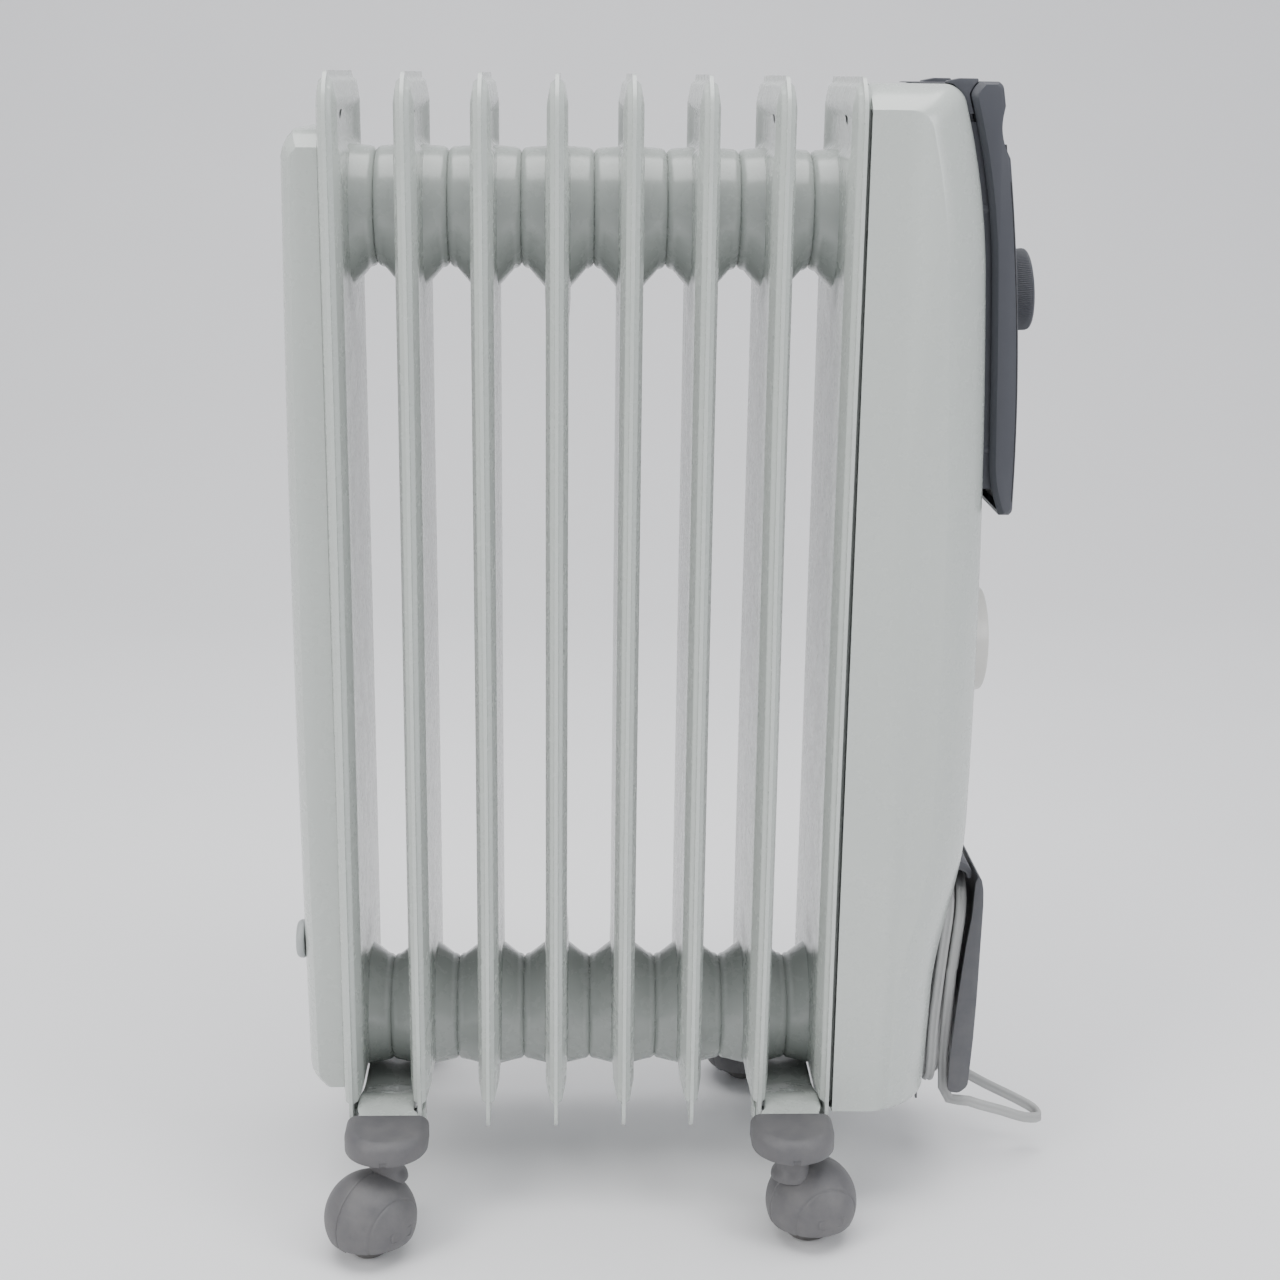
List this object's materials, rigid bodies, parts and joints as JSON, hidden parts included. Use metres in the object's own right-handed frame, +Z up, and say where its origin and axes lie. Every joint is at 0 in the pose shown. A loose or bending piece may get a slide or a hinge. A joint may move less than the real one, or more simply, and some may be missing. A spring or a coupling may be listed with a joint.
{
  "type": "oil filled radiator heater",
  "caption": "Free-standing oil filled radiator heater with pressed steel fins on oil hubs, a control housing with thermostat, switches and timer, a cord wrap and swivel casters.",
  "frame": {"origin": "on the floor, under the middle of the box round the heater without its cord", "axes": "+Z up, +X along the fin stack towards the control housing, +Y to the far side when the controls are on the right"},
  "size_m": [0.4473, 0.278, 0.64],
  "materials": {
    "painted_steel": "satin paint",
    "plain_steel": "zinc plated",
    "dark_plastic": "fine texture",
    "black_plastic": "matte",
    "switch_red": "gloss",
    "lamp_amber": "clear gloss",
    "ivory_plastic": "satin",
    "moulding": "matte",
    "bumper_plastic": "matte",
    "cord_jacket": "soft vinyl"
  },
  "bodies": {
    "radiator": {"fin_1": "painted_steel", "fin_2": "painted_steel", "fin_3": "painted_steel", "fin_4": "painted_steel", "fin_5": "painted_steel", "fin_6": "painted_steel", "fin_7": "painted_steel", "fin_8": "painted_steel", "rear_cover": "painted_steel", "wall_bumpers": "bumper_plastic", "control_housing": "painted_steel", "heat_shield": "plain_steel", "control_panel": "dark_plastic", "carry_handle": "dark_plastic", "thermostat_body": "moulding", "switch_bodies": "black_plastic", "pilot_lamp": "lamp_amber", "timer_bezel": "ivory_plastic", "timer_module": "moulding", "wrap_base": "dark_plastic", "wrap_outer_plate": "dark_plastic", "cord_strain_relief": "dark_plastic", "cord_hank": "cord_jacket", "cord_loop": "cord_jacket", "cord_tail": "cord_jacket", "mains_plug": "cord_jacket", "heating_element": "plain_steel", "element_flange": "plain_steel", "thermal_cutout": "black_plastic", "tip_over_switch": "black_plastic", "terminal_block": "moulding", "oil_filler_plug": "plain_steel", "housing_clips": "dark_plastic", "cover_screws": "plain_steel", "caster_bracket_1": "painted_steel", "caster_bracket_2": "painted_steel", "bracket_clips": "plain_steel", "clip_screws": "plain_steel", "bracket_cap_1": "dark_plastic", "bracket_cap_2": "dark_plastic", "bracket_cap_3": "dark_plastic", "bracket_cap_4": "dark_plastic", "caster_stems": "plain_steel"},
    "knob": {"thermostat_knob": "dark_plastic", "thermostat_shaft": "plain_steel"},
    "rocker_1": {"power_switch_1": "switch_red"},
    "rocker_2": {"power_switch_2": "switch_red"},
    "timer": {"timer_dial": "ivory_plastic", "timer_tappets": "black_plastic"},
    "swivel_1": {"caster_hood_1": "dark_plastic"},
    "wheel_1": {"caster_wheel_1": "black_plastic"},
    "swivel_2": {"caster_hood_2": "dark_plastic"},
    "wheel_2": {"caster_wheel_2": "black_plastic"},
    "swivel_3": {"caster_hood_3": "dark_plastic"},
    "wheel_3": {"caster_wheel_3": "black_plastic"},
    "swivel_4": {"caster_hood_4": "dark_plastic"},
    "wheel_4": {"caster_wheel_4": "black_plastic"}
  },
  "joints": [
    {"name": "thermostat_turn", "type": "hinge", "parent": "radiator", "child": "knob", "pos_m": [0.1894, 0, 0.527], "axis": [-0.9966, 0, -0.0819], "range_deg": [0, 270]},
    {"name": "rocker_1_tilt", "type": "hinge", "parent": "radiator", "child": "rocker_1", "pos_m": [0.179, -0.016, 0.59724], "axis": [-0.1305, 0, 0.9914], "range_deg": [0, 12]},
    {"name": "rocker_2_tilt", "type": "hinge", "parent": "radiator", "child": "rocker_2", "pos_m": [0.179, 0.016, 0.59724], "axis": [-0.1305, 0, 0.9914], "range_deg": [0, 12]},
    {"name": "timer_turn", "type": "hinge", "parent": "radiator", "child": "timer", "pos_m": [0.1835, 0, 0.328], "axis": [-1, 0, 0], "continuous": true},
    {"name": "swivel_1_turn", "type": "hinge", "parent": "radiator", "child": "swivel_1", "pos_m": [-0.1505, -0.1035, 0.053], "axis": [0, 0, 1], "continuous": true},
    {"name": "wheel_1_spin", "type": "hinge", "parent": "swivel_1", "child": "wheel_1", "pos_m": [-0.1592, -0.11316, 0.022], "axis": [0.7431, -0.6691, 0], "continuous": true},
    {"name": "swivel_2_turn", "type": "hinge", "parent": "radiator", "child": "swivel_2", "pos_m": [0.0775, -0.1035, 0.053], "axis": [0, 0, 1], "continuous": true},
    {"name": "wheel_2_spin", "type": "hinge", "parent": "swivel_2", "child": "wheel_2", "pos_m": [0.08964, -0.09884, 0.022], "axis": [-0.3584, 0.9336, 0], "continuous": true},
    {"name": "swivel_3_turn", "type": "hinge", "parent": "radiator", "child": "swivel_3", "pos_m": [-0.1505, 0.1035, 0.053], "axis": [0, 0, 1], "continuous": true},
    {"name": "wheel_3_spin", "type": "hinge", "parent": "swivel_3", "child": "wheel_3", "pos_m": [-0.1592, 0.11316, 0.022], "axis": [-0.7431, -0.6691, 0], "continuous": true},
    {"name": "swivel_4_turn", "type": "hinge", "parent": "radiator", "child": "swivel_4", "pos_m": [0.0775, 0.1035, 0.053], "axis": [0, 0, 1], "continuous": true},
    {"name": "wheel_4_spin", "type": "hinge", "parent": "swivel_4", "child": "wheel_4", "pos_m": [0.06698, 0.09586, 0.022], "axis": [0.5878, -0.809, 0], "continuous": true}
  ]
}
